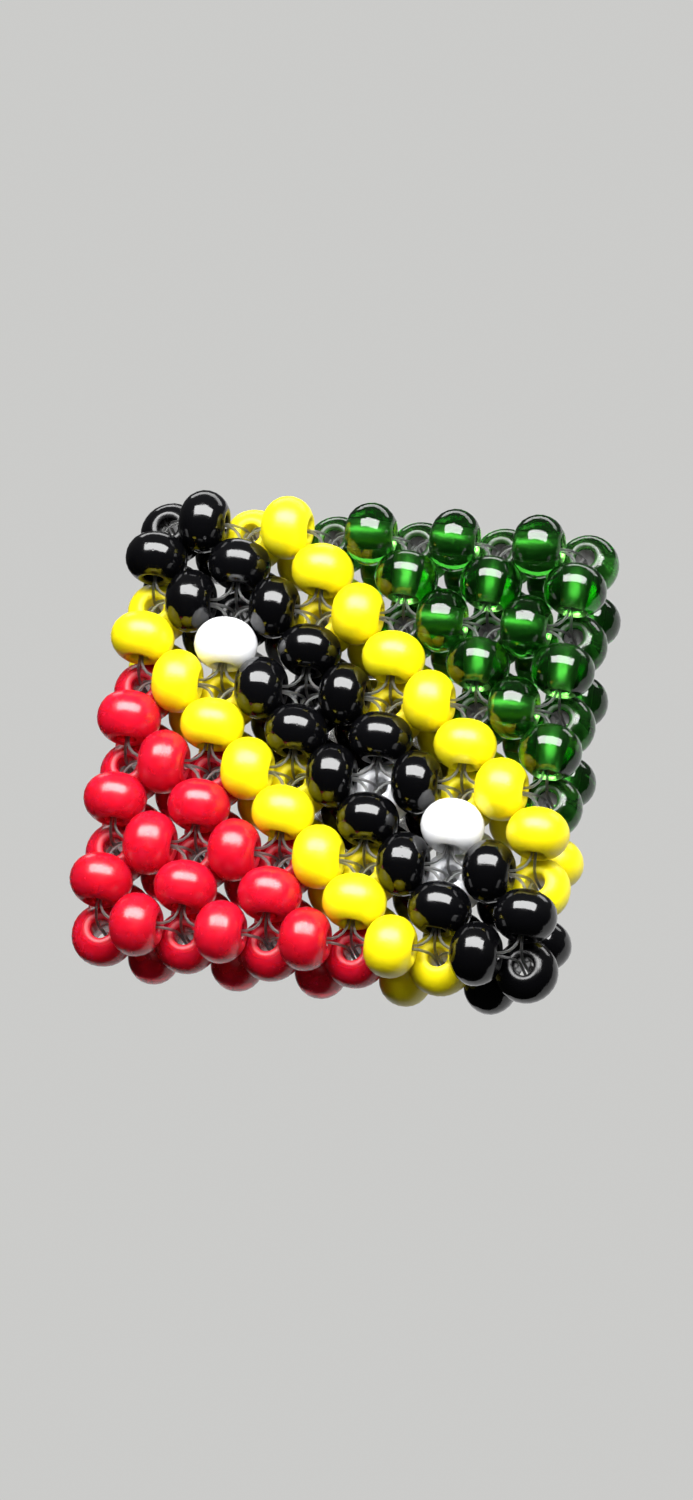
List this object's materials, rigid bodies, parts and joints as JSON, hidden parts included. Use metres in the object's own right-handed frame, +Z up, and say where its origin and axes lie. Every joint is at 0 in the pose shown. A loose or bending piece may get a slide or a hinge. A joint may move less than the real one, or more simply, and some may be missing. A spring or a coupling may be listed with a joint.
{
  "type": "beaded stud earring",
  "caption": "Square stud earring woven from round glass beads, striped on the diagonal, with a flat pad and an ear post.",
  "frame": {"origin": "on the post's axis at the back face of the pad, where the front of the ear lobe rests", "axes": "+Z up the square's edge, +Y along the ear post towards its tip, so the beaded face looks along -Y, and +X to the right as seen from the front"},
  "size_m": [0.0228, 0.0175, 0.0228],
  "materials": {
    "green_glass": "polished, transparent deep green",
    "red_glass": "polished, translucent red",
    "yellow_glass": "polished, opaque yellow",
    "black_glass": "polished, opaque black",
    "white_glass": "polished, opaque white",
    "thread_nylon": "clear nylon monofilament",
    "post_steel": "polished stainless steel"
  },
  "bodies": {
    "root": {"front_green": "green_glass", "front_red": "red_glass", "front_yellow_upper": "yellow_glass", "front_yellow_lower": "yellow_glass", "front_black": "black_glass", "front_white": "white_glass", "wall_green": "green_glass", "wall_red": "red_glass", "wall_yellow_upper": "yellow_glass", "wall_yellow_lower": "yellow_glass", "wall_black": "black_glass", "wall_white": "white_glass", "back_green": "green_glass", "back_red": "red_glass", "back_yellow_upper": "yellow_glass", "back_yellow_lower": "yellow_glass", "back_black": "black_glass", "back_white": "white_glass", "thread": "thread_nylon", "ear_post": "post_steel"}
  },
  "joints": []
}
